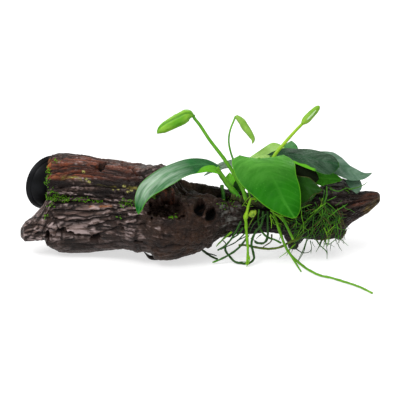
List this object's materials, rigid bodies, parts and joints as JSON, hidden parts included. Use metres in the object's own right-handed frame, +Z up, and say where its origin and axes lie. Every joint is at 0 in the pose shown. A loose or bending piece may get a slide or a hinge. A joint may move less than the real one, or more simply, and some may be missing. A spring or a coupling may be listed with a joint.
{
  "type": "anubias nana on driftwood",
  "caption": "Small broad-leaved water plant with flowers and roots grown on forked driftwood, with a suction cup for holding the wood to glass.",
  "frame": {"origin": "middle of the outline's bounding box, on the surface the wood rests on", "axes": "+X along the wood to its thin right end, -Y to the side with the hollows and large leaves, +Z up"},
  "size_m": [0.288, 0.129, 0.1192],
  "materials": {
    "driftwood": "satin",
    "black_rubber": "satin",
    "leaf_green": "satin",
    "stalk_green": "satin",
    "spathe_green": "satin",
    "spadix_pale": "matte",
    "root_green": "satin",
    "moss_green": "matte"
  },
  "bodies": {
    "root": {"driftwood_upper_arm": "driftwood", "driftwood_lower_arm": "driftwood", "driftwood_trunk": "driftwood", "driftwood_right_branch": "driftwood", "driftwood_branch_tip": "driftwood", "driftwood_peg": "driftwood", "driftwood_back_stub": "driftwood", "suction_cup": "black_rubber", "rhizome": "stalk_green", "leaf_left": "leaf_green", "petiole_left": "stalk_green", "leaf_front": "leaf_green", "petiole_front": "stalk_green", "leaf_right": "leaf_green", "petiole_right": "stalk_green", "leaf_far_right": "leaf_green", "petiole_far_right": "stalk_green", "leaf_drooping": "leaf_green", "petiole_drooping": "stalk_green", "leaf_back_light": "leaf_green", "petiole_back_light": "stalk_green", "leaf_back_grey": "leaf_green", "petiole_back_grey": "stalk_green", "leaf_inner": "leaf_green", "petiole_inner": "stalk_green", "leaf_inner_dark": "leaf_green", "petiole_inner_dark": "stalk_green", "leaf_inner_bright": "leaf_green", "petiole_inner_bright": "stalk_green", "leaf_small_round": "leaf_green", "petiole_small_round": "stalk_green", "leaf_small_dark": "leaf_green", "petiole_small_dark": "stalk_green", "leaf_back_left": "leaf_green", "petiole_back_left": "stalk_green", "peduncle_left": "stalk_green", "spathe_left": "spathe_green", "peduncle_middle": "stalk_green", "spathe_middle": "spathe_green", "peduncle_right": "stalk_green", "spathe_right": "spathe_green", "spadix_right": "spadix_pale", "young_leaf": "stalk_green", "cut_petiole_stub": "stalk_green", "root_long_floor": "root_green", "root_vertical": "root_green", "root_loop": "root_green", "root_lower_left": "root_green", "root_under_trunk": "root_green", "root_long_brown": "root_green", "root_hook": "root_green", "root_green": "root_green", "root_fork": "root_green", "root_short_left": "root_green", "root_mat": "root_green", "moss_left_edge": "moss_green", "moss_crack": "moss_green", "moss_fork": "moss_green", "moss_burl": "moss_green", "moss_rhizome": "moss_green"}
  },
  "joints": []
}
